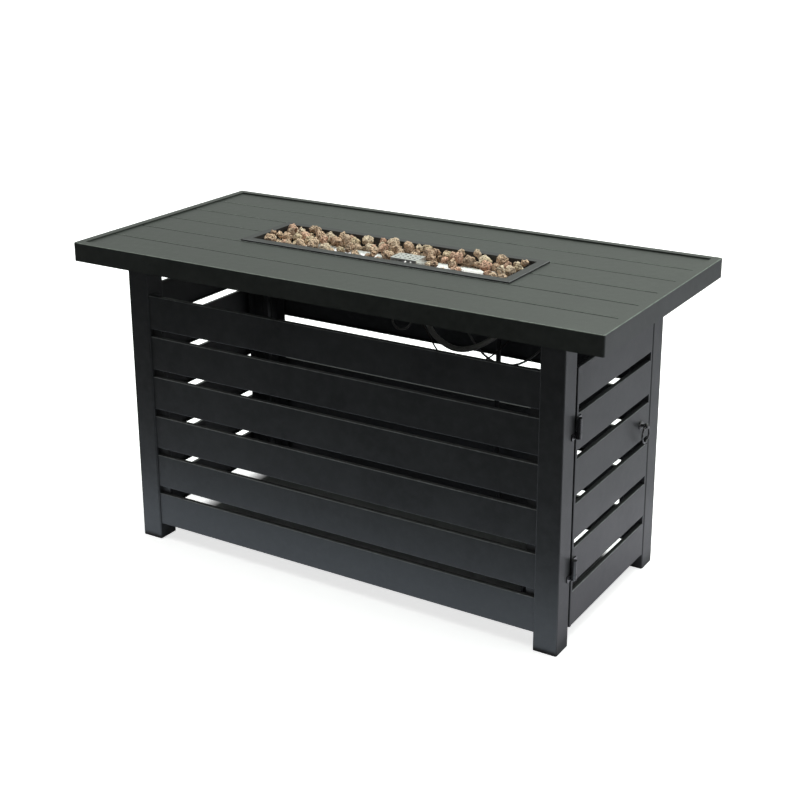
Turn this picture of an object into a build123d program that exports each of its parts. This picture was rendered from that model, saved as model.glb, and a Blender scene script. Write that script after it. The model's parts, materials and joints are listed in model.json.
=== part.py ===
"""Rectangular gas fire-pit table with a slatted steel base and a side door.

X runs along the long front, Y from the front to the back, Z up.
The origin is on the floor, under the middle of the table. Sizes are in millimetres.
"""
import os
from math import cos, pi, radians, sin, sqrt, tan
from random import Random

import numpy as np
from build123d import *

os.makedirs("parts", exist_ok=True)

# Table and base
table_length = 1080
table_width = 516
table_height = 600
end_overhang = 86
side_overhang = 50

# Tabletop pressing
skirt_height = 36
skirt_return = 18
top_sheet = 1.5
rim_width = 16
rim_rise = 3
top_corner_radius = 4
top_edge_radius = 2
plank_count = 6
groove_width = 5
groove_depth = 3

# Legs and feet
leg_size = 45
leg_wall = 1.5
leg_corner_radius = 3
foot_flange = 3
foot_plug_height = 14
foot_plug_wall = 2
foot_clearance = 0.2

# Rails under the top, and the studs that hold the top to them
rail_size = 20
rail_wall = 1.5
rail_corner_radius = 2
stiffener_width = 25
stiffener_height = 18
stiffener_sheet = 1.5
stiffener_gap = 14
stud_radius = 3
stud_from_end = 74
stud_tail = 8
stud_nut_width = 10
stud_nut_height = 5
hole_clearance = 0.3

# Slats and the stiles behind them
slat_count = 6
slat_gap = 15
slat_depth = 8
slat_sheet = 1.2
slat_bend_radius = 2
slats_above_floor = 32
slats_below_rail = 73.5
panel_setback = 3
rear_panel_lift = 3
stile_width = 20
stile_depth = 22
stile_sheet = 2
bolt_radius = 3
bolt_head_radius = 5.5
bolt_head_height = 2
bolt_crown_height = 1.5
bolt_crown_radius = 3.5
bolt_length = 9
bolt_inset = 11

# Door, lift-off hinges, catch and ring pull
hinge_gap = 5
latch_gap = 3
door_stile_width = 6
door_stile_edge = 1
hinge_height = 36
hinge_post_height = 11
hinge_lift_gap = 0.4
hinge_slat_counts = (2, 5)
hinge_rises = (-0.04, 0.17)
knuckle_radius = 5
knuckle_clearance = 0.5
hinge_pin_radius = 3
hinge_pin_clearance = 0.05
hinge_leaf_width = 17
hinge_leaf_sheet = 2
hinge_screw_radius = 1.6
hinge_screw_head_radius = 3
hinge_screw_head_height = 1.4
hinge_screw_dome = 0.7
hinge_screw_length = 6
hinge_screw_spacing = 16
hinge_screw_edge = 4
catch_height = 40
catch_width = 14
catch_depth = 12
catch_corner_radius = 3.5
catch_plate_width = 22
catch_plate_sheet = 2
catch_gap = 0.3
catch_slat_count = 5
pull_from_edge = 40
pull_slat_count = 4
rosette_radius = 8
rosette_height = 3
rosette_edge_radius = 2.4
pull_neck_radius = 3
pull_ball_radius = 5.5
pull_reach = 11
pull_eye_radius = 3.1
pull_tail_length = 6
pull_nut_width = 8
pull_nut_height = 3
ring_radius = 15.5
ring_wire_radius = 1.8

# Burner pan, burner and its gas fittings
pan_inner_length = 536
pan_inner_width = 122
pan_depth = 58
pan_sheet = 1.2
pan_flange = 17
pan_hem = 3.5
pan_fit = 2
pan_drain_radius = 4
pan_drain_spacing = 440
burner_length = 430
burner_radius = 12.5
burner_wall = 1.2
burner_rise = 34
port_radius = 1.6
port_spacing = 17
port_end_margin = 25
spud_offset = -24
spud_radius = 10
spud_bore_radius = 7
spud_reach = 26
saddle_spacing = 300
saddle_sheet = 3
saddle_width = 32
saddle_foot = 14
saddle_fit = 0.1
burner_nut_width = 30
burner_nut_height = 6
elbow_size = 28
elbow_corner_radius = 4.5
mixer_length = 34
mixer_radius = 9
mixer_bore_radius = 4.5
mixer_collar_radius = 11
mixer_collar_length = 8
mixer_window_width = 6
mixer_window_length = 14
thread_clearance = 0.1

# Igniter, with its perforated cover, inside the pan
cover_length = 54
cover_width = 36
cover_height = 60
cover_sheet = 1
cover_centre = (57, -33)
cover_hole_radius = 2.2
cover_hole_spacing = 10
cover_hole_columns = 5
cover_hole_rows = 3
cover_slot_height = 36
cover_slot_width = 5
cover_slot_spacing = 11
cover_slot_count = 4
cover_slot_edge = 2.5
probe_spacing = 18
probe_radius = 3.5
probe_flange_radius = 6
probe_flange_height = 2
probe_rise = 24
probe_drop = 14
spark_tip_radius = 1
spark_tip_length = 16
thermocouple_tip_radius = 2
thermocouple_tip_length = 18

# Lava rocks
rock_seed = 11
rock_size_range = (19, 32)
rock_corner_count = 13
rock_flatness_range = (0.72, 1.0)
rock_roughness = 0.13
rock_gap = 0.5
rock_tube_gap = 0.2
rock_grid = 1.0
rock_tries = 18
rock_patience = 30
rock_crown = 1
bare_stretches = ((-66, -54), (104, 114), (153, 180))
bare_slant = 0.6
bare_rise = 5

# Control panel, gas valve, knob and igniter button
panel_length = 170
panel_sheet = 1.5
panel_drop = 70
panel_flange = 26
panel_lip = 12
panel_from_end = 194
control_drop = 37.5
valve_offset = -26
button_offset = 42
valve_length = 34
valve_depth = 40
valve_height = 28
valve_corner_radius = 4
valve_bonnet_radius = 9
valve_bonnet_length = 6
nipple_radius = 6
nipple_length = 14
stem_radius = 4
stem_clearance = 0.05
stem_bore_depth = 20
stem_inside = 15
stem_tip_gap = 1
knob_gap = 5
knob_radius = 19
knob_depth = 20
knob_skirt_radius = 22
knob_skirt_depth = 4
knob_skirt_edge = 2
knob_hub_radius = 13
knob_grip_width = 9
knob_edge_radius = 1.5
knob_socket_depth = 14
bezel_radius = 13
bezel_height = 3
bezel_edge_radius = 1.5
igniter_radius = 9
igniter_length = 44
button_radius = 7
button_edge_radius = 1.2
button_clearance = 0.08
button_rise = 6
button_length = 16
button_travel = 5
button_spare = 3

# Hoses, wires and the regulator
hose_diameter = 10
igniter_wire_diameter = 4
thermocouple_lead_diameter = 3
bend_share = 0.45
hose_floor_gap = 0.5
lead_offset = -8.5
regulator_from_door = 120
regulator_hose_y = 46
regulator_radius = 31
regulator_height = 24
regulator_edge_radius = 4
regulator_cap_radius = 17
regulator_cap_height = 7
regulator_cap_chamfer = 1.8
regulator_neck_radius = 8
regulator_neck_length = 16
regulator_stub_radius = 9
coupling_radius = 21
coupling_length = 34
coupling_mouth_radius = 15
coupling_mouth_depth = 22
coupling_clearance = 0.1
coupling_grip_count = 12
coupling_grip_radius = 2.5
coupling_lip = 2
coupling_play = 0.3
coupling_back_gap = 1
coupling_floor_gap = 0.5

# Sizes worked out from those above
skirt_bottom = table_height - skirt_height
plank_top = table_height - rim_rise
plank_under = plank_top - top_sheet
plank_length = table_length - 2 * rim_width
plank_width = table_width - 2 * rim_width
rail_bottom = plank_under - rail_size
base_length = table_length - 2 * end_overhang
base_width = table_width - 2 * side_overhang
leg_x = (base_length - leg_size) / 2
leg_y = (base_width - leg_size) / 2
slats_top = rail_bottom - slats_below_rail
slat_pitch = (slats_top + slat_gap - slats_above_floor) / slat_count
slat_height = slat_pitch - slat_gap
slat_middles = [slats_above_floor + slat_height / 2 + i * slat_pitch for i in range(slat_count)]
front_opening = base_length - 2 * leg_size
side_opening = base_width - 2 * leg_size
pan_floor = plank_top + pan_hem - pan_depth
pan_under = pan_floor - pan_sheet
pan_rim = plank_top + pan_hem
burner_axis = pan_floor + burner_rise
control_height = rail_bottom - control_drop
up = Vector(0, 0, 1)


def save(part, name):
    """Label a finished piece and write it to its own file."""
    part.label = name
    export_step(part, f"parts/{name}.step")


def section_plane(face, inward):
    """Plane across a panel's slats: local x goes into the base, local y is up."""
    return Plane(origin=face, x_dir=inward, z_dir=inward.cross(up))


def plan_plane(face, inward, height):
    """Level plane on a panel's face: local x runs along the slats, local y goes into the base."""
    return Plane(origin=face + up * height, x_dir=inward.cross(up), z_dir=up)


# Tabletop: one pressed sheet with a raised rim, plank grooves and a folded skirt
groove_lines = [(i - plank_count / 2) * plank_width / plank_count for i in range(1, plank_count)]
groove_section = [(-groove_width / 2, 0), (0, -groove_depth), (groove_width / 2, 0)]

with BuildPart() as tabletop:
    with BuildSketch(Plane.XY.offset(skirt_bottom)):
        RectangleRounded(table_length, table_width, top_corner_radius)
    extrude(amount=skirt_height)
    fillet(tabletop.faces().sort_by(Axis.Z)[-1].edges(), top_edge_radius)
    with BuildSketch(Plane.XY.offset(skirt_bottom)):
        RectangleRounded(
            table_length - 2 * top_sheet, table_width - 2 * top_sheet, top_corner_radius - top_sheet
        )
    extrude(amount=skirt_height - top_sheet, mode=Mode.SUBTRACT)
    with BuildSketch(Plane.XY.offset(skirt_bottom)):
        RectangleRounded(table_length - top_sheet, table_width - top_sheet, top_corner_radius - top_sheet / 2)
        Rectangle(table_length - 2 * skirt_return, table_width - 2 * skirt_return, mode=Mode.SUBTRACT)
    extrude(amount=top_sheet)
    with BuildSketch(Plane.XY.offset(plank_under)):
        Rectangle(plank_length + 2 * top_sheet, plank_width + 2 * top_sheet)
    extrude(amount=rim_rise)
    with BuildSketch(Plane.XY.offset(table_height)):
        Rectangle(plank_length, plank_width)
    extrude(amount=-rim_rise, mode=Mode.SUBTRACT)
    with BuildSketch(Plane.YZ.offset(-plank_length / 2)):
        with Locations(*[(y, plank_under) for y in groove_lines]):
            Polygon(*groove_section, align=None)
    extrude(amount=plank_length)
    with BuildSketch(Plane.YZ.offset(-plank_length / 2)):
        with Locations(*[(y, plank_top) for y in groove_lines]):
            Polygon(*groove_section, align=None)
    extrude(amount=plank_length, mode=Mode.SUBTRACT)
    with BuildSketch(Plane.XY.offset(table_height)):
        Rectangle(
            pan_inner_length + 2 * (pan_sheet + pan_fit), pan_inner_width + 2 * (pan_sheet + pan_fit)
        )
    extrude(amount=-skirt_height, mode=Mode.SUBTRACT)
save(tabletop.part, "tabletop")

# Two rails on top of the legs, with welded studs of the top passing through them
stud_spacing = base_length / 2 - stud_from_end
stud_places = [(i * stud_spacing, side * leg_y) for side in (-1, 1) for i in (-1, 0, 1)]

for name, side in (("front", -1), ("back", 1)):
    with BuildPart() as top_rail:
        with BuildSketch(Plane.YZ.offset(-base_length / 2)):
            with Locations((side * leg_y, rail_bottom + rail_size / 2)):
                RectangleRounded(rail_size, rail_size, rail_corner_radius)
                Rectangle(rail_size - 2 * rail_wall, rail_size - 2 * rail_wall, mode=Mode.SUBTRACT)
        extrude(amount=base_length)
        with Locations(*[(x, y, rail_bottom + rail_size / 2) for x, y in stud_places]):
            Cylinder(stud_radius + hole_clearance, rail_size + rail_wall, mode=Mode.SUBTRACT)
    save(top_rail.part, f"top_rail_{name}")

with BuildPart() as tabletop_studs:
    with BuildSketch(Plane.XY.offset(plank_under)):
        with Locations(*stud_places):
            Circle(stud_radius)
    extrude(amount=-(rail_size + stud_tail))
save(tabletop_studs.part, "tabletop_studs")

with BuildPart() as stud_nuts:
    with BuildSketch(Plane.XY.offset(rail_bottom)):
        with Locations(*stud_places):
            RegularPolygon(stud_nut_width / 2, 6, major_radius=False)
            Circle(stud_radius + thread_clearance, mode=Mode.SUBTRACT)
    extrude(amount=-stud_nut_height)
save(stud_nuts.part, "stud_nuts")

# Two cross stiffeners under the planks, one at each end of the burner pan
stiffener_top = plank_under - groove_depth
stiffener_x = pan_inner_length / 2 + pan_flange + stiffener_gap + stiffener_width / 2
stiffener_length = 2 * leg_y - rail_size

for name, side in (("left", -1), ("right", 1)):
    with BuildPart() as top_stiffener:
        with BuildSketch(Plane.XZ):
            with Locations((side * stiffener_x, stiffener_top)):
                Rectangle(stiffener_width, stiffener_height, align=(Align.CENTER, Align.MAX))
            with Locations((side * stiffener_x, stiffener_top - stiffener_sheet)):
                Rectangle(
                    stiffener_width - 2 * stiffener_sheet,
                    stiffener_height,
                    align=(Align.CENTER, Align.MAX),
                    mode=Mode.SUBTRACT,
                )
        extrude(amount=stiffener_length / 2, both=True)
    save(top_stiffener.part, f"top_stiffener_{name}")

# Slatted panels: face, direction into the base and width between the legs
panels = {
    "front": (Vector(0, -base_width / 2 + panel_setback, 0), Vector(0, 1, 0), front_opening),
    "back": (Vector(0, base_width / 2 - panel_setback, rear_panel_lift), Vector(0, -1, 0), front_opening),
    "left": (Vector(-base_length / 2 + panel_setback, 0, rear_panel_lift), Vector(1, 0, 0), side_opening),
}

# Bolts through the stiles into the legs, in the lowest and highest gaps between slats
bolt_heights = [slats_above_floor + slat_height + slat_gap / 2, slats_top - slat_height - slat_gap / 2]
bolt_places = []
for face, inward, opening in panels.values():
    along = inward.cross(up)
    for end in (-1, 1):
        for height in bolt_heights:
            seat = face + along * (end * opening / 2) + inward * (slat_depth + bolt_inset) + up * height
            bolt_places.append(Plane(origin=seat, z_dir=along * end))


def slat_set(face, inward, length):
    """Six folded channels, one above the other, with their open side into the base."""
    with BuildPart() as slats:
        with BuildSketch(section_plane(face, inward)) as section:
            with Locations(*[(0, height) for height in slat_middles]):
                Rectangle(slat_depth, slat_height, align=(Align.MIN, Align.CENTER))
            fillet(section.vertices().group_by(Axis.X)[0], slat_bend_radius)
            with Locations(*[(slat_sheet, height) for height in slat_middles]):
                Rectangle(
                    slat_depth,
                    slat_height - 2 * slat_sheet,
                    align=(Align.MIN, Align.CENTER),
                    mode=Mode.SUBTRACT,
                )
        extrude(amount=length / 2, both=True)
    return slats.part


def stile_pair(face, inward, opening):
    """Two angle bars behind the slats, each bolted flat to a leg."""
    with BuildPart() as stiles:
        with BuildSketch(plan_plane(face, inward, slats_above_floor)):
            for end, side in ((-1, Align.MIN), (1, Align.MAX)):
                with Locations((end * opening / 2, slat_depth)):
                    Rectangle(stile_width, stile_sheet, align=(side, Align.MIN))
                    Rectangle(stile_sheet, stile_depth, align=(side, Align.MIN))
        extrude(amount=slats_top - slats_above_floor)
        with Locations(*bolt_places):
            Cylinder(bolt_radius + hole_clearance, 2 * bolt_length, mode=Mode.SUBTRACT)
    return stiles.part


for name, (face, inward, opening) in panels.items():
    save(slat_set(face, inward, opening), f"{name}_slats")
    save(stile_pair(face, inward, opening), f"{name}_stiles")

with BuildPart() as panel_bolts:
    with Locations(*[place.offset(-stile_sheet) for place in bolt_places]):
        Cylinder(bolt_radius, bolt_length, align=(Align.CENTER, Align.CENTER, Align.MIN))
        Cylinder(bolt_head_radius, bolt_head_height, align=(Align.CENTER, Align.CENTER, Align.MAX))
    with Locations(*[place.offset(-stile_sheet - bolt_head_height) for place in bolt_places]):
        Cone(
            bolt_crown_radius,
            bolt_head_radius,
            bolt_crown_height,
            align=(Align.CENTER, Align.CENTER, Align.MAX),
        )
save(panel_bolts.part, "panel_bolts")

# Legs of square tube, with plastic plugs for feet
leg_corners = {
    "front_left": (-leg_x, -leg_y),
    "front_right": (leg_x, -leg_y),
    "back_left": (-leg_x, leg_y),
    "back_right": (leg_x, leg_y),
}
leg_inside = leg_size - 2 * leg_wall

for name, corner in leg_corners.items():
    with BuildPart() as leg:
        with BuildSketch(Plane.XY.offset(foot_flange)):
            with Locations(corner):
                RectangleRounded(leg_size, leg_size, leg_corner_radius)
                RectangleRounded(leg_inside, leg_inside, leg_corner_radius - leg_wall, mode=Mode.SUBTRACT)
        extrude(amount=rail_bottom - foot_flange)
        with Locations(*bolt_places):
            Cylinder(bolt_radius + hole_clearance, 2 * bolt_length, mode=Mode.SUBTRACT)
    save(leg.part, f"leg_{name}")

with BuildPart() as leg_feet:
    with BuildSketch():
        with Locations(*leg_corners.values()):
            RectangleRounded(leg_size, leg_size, leg_corner_radius)
    extrude(amount=foot_flange)
    plug_size = leg_inside - 2 * foot_clearance
    with BuildSketch(Plane.XY.offset(foot_flange)):
        with Locations(*leg_corners.values()):
            RectangleRounded(plug_size, plug_size, leg_corner_radius - leg_wall)
            Rectangle(plug_size - 2 * foot_plug_wall, plug_size - 2 * foot_plug_wall, mode=Mode.SUBTRACT)
    extrude(amount=foot_plug_height)
save(leg_feet.part, "leg_feet")

# Door on the right side: slats between two flat stiles, flush with the legs
door_width = side_opening - hinge_gap - latch_gap
door_face_x = base_length / 2
door_middle_y = (hinge_gap - latch_gap) / 2
door_face = Vector(door_face_x, door_middle_y, 0)
door_inward = Vector(-1, 0, 0)
hinge_edge_y = door_middle_y - door_width / 2
latch_edge_y = door_middle_y + door_width / 2

for name, end in (("hinge", -1), ("latch", 1)):
    with BuildPart() as door_stile:
        with BuildSketch(plan_plane(door_face, door_inward, slats_above_floor)):
            with Locations((end * (door_width - door_stile_width) / 2, 0)):
                Rectangle(door_stile_width, slat_depth, align=(Align.CENTER, Align.MIN))
        extrude(amount=slats_top - slats_above_floor)
        outer_edges = door_stile.edges().filter_by(Axis.Z).group_by(Axis.X)[-1]
        fillet(outer_edges.sort_by(Axis.Y)[0 if end < 0 else -1], door_stile_edge)
    save(door_stile.part, f"door_stile_{name}")

# Lift-off hinges: a pin on the leg carries a knuckle on the door
hinge_centre_heights = [
    slat_middles[count - 1] + rise * slat_height for count, rise in zip(hinge_slat_counts, hinge_rises)
]
hinge_x = door_face_x + knuckle_radius + knuckle_clearance
hinge_y = hinge_edge_y - hinge_gap / 2
leaf_screw_y = hinge_y + hinge_leaf_width - hinge_screw_edge
screw_heights = [
    height + end * hinge_screw_spacing / 2 for height in hinge_centre_heights for end in (-1, 1)
]

for name, height in zip(("lower", "upper"), hinge_centre_heights):
    post_bottom = height - hinge_height / 2
    with BuildPart() as hinge_post:
        with BuildSketch(Plane.XY.offset(post_bottom)):
            with Locations((hinge_x, hinge_y)):
                Circle(knuckle_radius)
            with Locations((door_face_x, hinge_y)):
                Rectangle(hinge_leaf_sheet, hinge_leaf_width, align=(Align.MIN, Align.MAX))
        extrude(amount=hinge_post_height)
        with BuildSketch(Plane.XY.offset(post_bottom + hinge_post_height)):
            with Locations((hinge_x, hinge_y)):
                Circle(hinge_pin_radius)
        extrude(amount=hinge_height - hinge_post_height)
    save(hinge_post.part, f"hinge_post_{name}")

    with BuildPart() as hinge_leaf:
        with BuildSketch(Plane.XY.offset(post_bottom + hinge_post_height + hinge_lift_gap)):
            with Locations((hinge_x, hinge_y)):
                Circle(knuckle_radius)
                Circle(hinge_pin_radius + hinge_pin_clearance, mode=Mode.SUBTRACT)
            with Locations((door_face_x, hinge_y)):
                Rectangle(hinge_leaf_sheet, hinge_leaf_width, align=(Align.MIN, Align.MIN))
        extrude(amount=hinge_height - hinge_post_height - hinge_lift_gap)
        lower_edge = knuckle_radius + knuckle_clearance
        with BuildSketch(Plane.XY.offset(post_bottom)):
            with Locations((door_face_x, hinge_y + lower_edge)):
                Rectangle(hinge_leaf_sheet, hinge_leaf_width - lower_edge, align=(Align.MIN, Align.MIN))
        extrude(amount=hinge_post_height + hinge_lift_gap)
        with Locations(*[(door_face_x, leaf_screw_y, z) for z in screw_heights]):
            Cylinder(
                hinge_screw_radius + hole_clearance,
                4 * hinge_leaf_sheet,
                rotation=(0, 90, 0),
                mode=Mode.SUBTRACT,
            )
    save(hinge_leaf.part, f"hinge_leaf_{name}")

with BuildPart() as hinge_screws:
    with Locations(
        *[
            Plane(origin=(door_face_x + hinge_leaf_sheet, leaf_screw_y, z), z_dir=(1, 0, 0))
            for z in screw_heights
        ]
    ):
        Cylinder(hinge_screw_radius, hinge_screw_length, align=(Align.CENTER, Align.CENTER, Align.MAX))
        Cylinder(
            hinge_screw_head_radius,
            hinge_screw_head_height,
            align=(Align.CENTER, Align.CENTER, Align.MIN),
        )
    fillet(hinge_screws.edges().group_by(Axis.X)[-1], hinge_screw_dome)
save(hinge_screws.part, "hinge_screws")

# Ring pull: a rosette and eye bolted through a slat, and a ring that hangs in the eye
pull_y = latch_edge_y - pull_from_edge
pull_height = slat_middles[pull_slat_count - 1]
pull_seat = Plane(origin=(door_face_x, pull_y, pull_height), x_dir=(0, 1, 0), z_dir=(1, 0, 0))

with BuildPart() as door_slats:
    add(slat_set(door_face, door_inward, door_width - 2 * door_stile_width))
    with Locations(*[(door_face_x, leaf_screw_y, z) for z in screw_heights]):
        Cylinder(
            hinge_screw_radius + hole_clearance, slat_depth, rotation=(0, 90, 0), mode=Mode.SUBTRACT
        )
    with Locations(pull_seat):
        Cylinder(pull_neck_radius + hole_clearance, slat_depth, mode=Mode.SUBTRACT)
save(door_slats.part, "door_slats")

with BuildPart() as pull_post:
    with Locations(pull_seat):
        Cylinder(rosette_radius, rosette_height, align=(Align.CENTER, Align.CENTER, Align.MIN))
    fillet(pull_post.edges().group_by(Axis.X)[-1], rosette_edge_radius)
    with Locations(pull_seat.offset(-pull_tail_length)):
        Cylinder(
            pull_neck_radius,
            pull_tail_length + pull_reach,
            align=(Align.CENTER, Align.CENTER, Align.MIN),
        )
    with Locations(pull_seat.offset(pull_reach)):
        Sphere(pull_ball_radius)
        Cylinder(pull_eye_radius, 3 * pull_ball_radius, rotation=(0, 90, 0), mode=Mode.SUBTRACT)
save(pull_post.part, "pull_post")

with BuildPart() as pull_nut:
    with BuildSketch(pull_seat.offset(-slat_sheet)):
        RegularPolygon(pull_nut_width / 2, 6, major_radius=False)
        Circle(pull_neck_radius + thread_clearance, mode=Mode.SUBTRACT)
    extrude(amount=-pull_nut_height)
save(pull_nut.part, "pull_nut")

with BuildPart() as pull_ring:
    with Locations((door_face_x + pull_reach, pull_y, pull_height - ring_radius)):
        Torus(ring_radius, ring_wire_radius, rotation=(0, 90, 0))
save(pull_ring.part, "pull_ring")

# Magnetic catch on the leg, and the steel plate behind the door that it holds
catch_plate_x = door_face_x - slat_depth - catch_plate_sheet
catch_centre_height = slat_middles[catch_slat_count - 1]
catch_x = catch_plate_x - catch_gap - catch_depth
leg_inner_y = side_opening / 2

with BuildPart() as catch_plate:
    with Locations((catch_plate_x, latch_edge_y, catch_centre_height)):
        Box(
            catch_plate_sheet,
            catch_plate_width,
            catch_height,
            align=(Align.MIN, Align.MAX, Align.CENTER),
        )
    fillet(catch_plate.edges().filter_by(Axis.X), catch_plate_sheet)
save(catch_plate.part, "catch_plate")

with BuildPart() as door_catch:
    with Locations((catch_x, leg_inner_y, catch_centre_height)):
        Box(catch_depth, catch_width, catch_height, align=(Align.MIN, Align.MAX, Align.CENTER))
    fillet(door_catch.faces().sort_by(Axis.Y)[0].edges().filter_by(Axis.X), catch_corner_radius)
save(door_catch.part, "door_catch")

# Burner pan: hangs in the top's cut-out by a hemmed flange
spud_centre = (spud_offset, 0)
pan_outer_length = pan_inner_length + 2 * pan_sheet
pan_outer_width = pan_inner_width + 2 * pan_sheet
flange_length = pan_inner_length + 2 * pan_flange
flange_width = pan_inner_width + 2 * pan_flange
cover_x, cover_y = cover_centre
probe_places = {
    "spark_electrode": (cover_x - probe_spacing / 2, cover_y),
    "thermocouple": (cover_x + probe_spacing / 2, cover_y),
}

with BuildPart() as burner_pan:
    with BuildSketch(Plane.XY.offset(plank_top)):
        Rectangle(flange_length, flange_width)
    extrude(amount=pan_hem)
    fillet(burner_pan.faces().sort_by(Axis.Z)[-1].edges(), pan_sheet)
    with BuildSketch(Plane.XY.offset(plank_top)):
        Rectangle(flange_length - 2 * pan_sheet, flange_width - 2 * pan_sheet)
    extrude(amount=pan_hem - pan_sheet, mode=Mode.SUBTRACT)
    with BuildSketch(Plane.XY.offset(pan_under)):
        Rectangle(pan_outer_length, pan_outer_width)
    extrude(amount=pan_rim - pan_under)
    with BuildSketch(Plane.XY.offset(pan_floor)):
        Rectangle(pan_inner_length, pan_inner_width)
    extrude(amount=pan_depth, mode=Mode.SUBTRACT)
    with BuildSketch(Plane.XY.offset(pan_under)):
        with Locations(spud_centre):
            Circle(spud_radius + hole_clearance)
        with Locations(*probe_places.values()):
            Circle(probe_radius + hole_clearance)
        with GridLocations(pan_drain_spacing, pan_inner_width / 2, 2, 2):
            Circle(pan_drain_radius)
    extrude(amount=pan_sheet, mode=Mode.SUBTRACT)
save(burner_pan.part, "burner_pan")

# Burner: a ported tube with its inlet spud welded on, held by two saddles
port_count = int((burner_length - 2 * port_end_margin) / port_spacing)

with BuildPart() as burner_tube:
    with BuildSketch(Plane.YZ.offset(-burner_length / 2)):
        with Locations((0, burner_axis)):
            Circle(burner_radius)
    extrude(amount=burner_length)
    with BuildSketch(Plane.XY.offset(burner_axis)):
        with Locations(spud_centre):
            Circle(spud_radius)
    extrude(amount=-(burner_rise + pan_sheet + spud_reach))
    with BuildSketch(Plane.YZ.offset(burner_wall - burner_length / 2)):
        with Locations((0, burner_axis)):
            Circle(burner_radius - burner_wall)
    extrude(amount=burner_length - 2 * burner_wall, mode=Mode.SUBTRACT)
    with BuildSketch(Plane.XY.offset(burner_axis)):
        with Locations(spud_centre):
            Circle(spud_bore_radius)
    extrude(amount=-(burner_rise + pan_sheet + spud_reach), mode=Mode.SUBTRACT)
    with Locations((0, 0, burner_axis + burner_radius)):
        with GridLocations(port_spacing, 1, port_count, 1):
            Cylinder(port_radius, 4 * burner_wall, mode=Mode.SUBTRACT)
save(burner_tube.part, "burner_tube")

with BuildPart() as burner_saddles:
    with BuildSketch(Plane.XY.offset(pan_floor)):
        with GridLocations(saddle_spacing, 1, 2, 1):
            Rectangle(saddle_foot, saddle_width)
    extrude(amount=saddle_sheet)
    with BuildSketch(Plane.XY.offset(pan_floor)):
        with GridLocations(saddle_spacing, 1, 2, 1):
            Rectangle(saddle_sheet, saddle_width)
    extrude(amount=burner_rise)
    with Locations((0, 0, burner_axis)):
        Cylinder(burner_radius + saddle_fit, burner_length, rotation=(0, 90, 0), mode=Mode.SUBTRACT)
save(burner_saddles.part, "burner_saddles")

with BuildPart() as burner_nut:
    with BuildSketch(Plane.XY.offset(pan_under)):
        with Locations(spud_centre):
            RegularPolygon(burner_nut_width / 2, 6, major_radius=False)
            Circle(spud_radius + thread_clearance, mode=Mode.SUBTRACT)
    extrude(amount=-burner_nut_height)
save(burner_nut.part, "burner_nut")

# Elbow under the pan, and the air mixer that screws into its side
elbow_top = pan_under - burner_nut_height
mixer_axis = elbow_top - elbow_size / 2
mixer_start = spud_offset + elbow_size / 2
mixer_end = mixer_start + mixer_length

with BuildPart() as inlet_elbow:
    with Locations((spud_offset, 0, elbow_top)):
        Box(elbow_size, elbow_size, elbow_size, align=(Align.CENTER, Align.CENTER, Align.MAX))
    fillet(inlet_elbow.edges().filter_by(Axis.Z), elbow_corner_radius)
    with BuildSketch(Plane.XY.offset(elbow_top)):
        with Locations(spud_centre):
            Circle(spud_radius + thread_clearance)
    extrude(amount=-(spud_reach - burner_nut_height + thread_clearance), mode=Mode.SUBTRACT)
    with BuildSketch(Plane.YZ.offset(mixer_start)):
        with Locations((0, mixer_axis)):
            Circle(mixer_bore_radius)
    extrude(amount=-elbow_size / 2, mode=Mode.SUBTRACT)
save(inlet_elbow.part, "inlet_elbow")

with BuildPart() as gas_mixer:
    with BuildSketch(Plane.YZ.offset(mixer_start)):
        with Locations((0, mixer_axis)):
            Circle(mixer_radius)
    extrude(amount=mixer_length)
    for start, length in ((mixer_start, mixer_collar_length), (mixer_end, -mixer_collar_length)):
        with BuildSketch(Plane.YZ.offset(start)):
            with Locations((0, mixer_axis)):
                RegularPolygon(mixer_collar_radius, 6)
        extrude(amount=length)
    with BuildSketch(Plane.YZ.offset(mixer_start)):
        with Locations((0, mixer_axis)):
            Circle(mixer_bore_radius)
    extrude(amount=mixer_length - mixer_collar_length, mode=Mode.SUBTRACT)
    with Locations((mixer_start + mixer_length / 2, 0, mixer_axis)):
        Box(mixer_window_length, 3 * mixer_radius, mixer_window_width, mode=Mode.SUBTRACT)
save(gas_mixer.part, "gas_mixer")

# Igniter: a perforated cover over a spark electrode and a thermocouple
with BuildPart() as igniter_cover:
    with BuildSketch(Plane.XY.offset(pan_floor)):
        with Locations(cover_centre):
            RectangleRounded(cover_length, cover_width, 2 * cover_sheet)
    extrude(amount=cover_height)
    with BuildSketch(Plane.XY.offset(pan_floor)):
        with Locations(cover_centre):
            Rectangle(cover_length - 2 * cover_sheet, cover_width - 2 * cover_sheet)
    extrude(amount=cover_height - cover_sheet, mode=Mode.SUBTRACT)
    with BuildSketch(Plane.XY.offset(pan_floor + cover_height)):
        with Locations(cover_centre):
            with GridLocations(cover_hole_spacing, cover_hole_spacing, cover_hole_columns, cover_hole_rows):
                Circle(cover_hole_radius)
    extrude(amount=-2 * cover_sheet, mode=Mode.SUBTRACT)
    with BuildSketch(Plane.XZ.offset(-cover_y)):
        with Locations((cover_x, pan_floor + cover_height - cover_slot_edge - cover_slot_height / 2)):
            with GridLocations(cover_slot_spacing, 1, cover_slot_count, 1):
                SlotOverall(cover_slot_height, cover_slot_width, rotation=90)
    extrude(amount=cover_width, both=True, mode=Mode.SUBTRACT)
save(igniter_cover.part, "igniter_cover")


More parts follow.
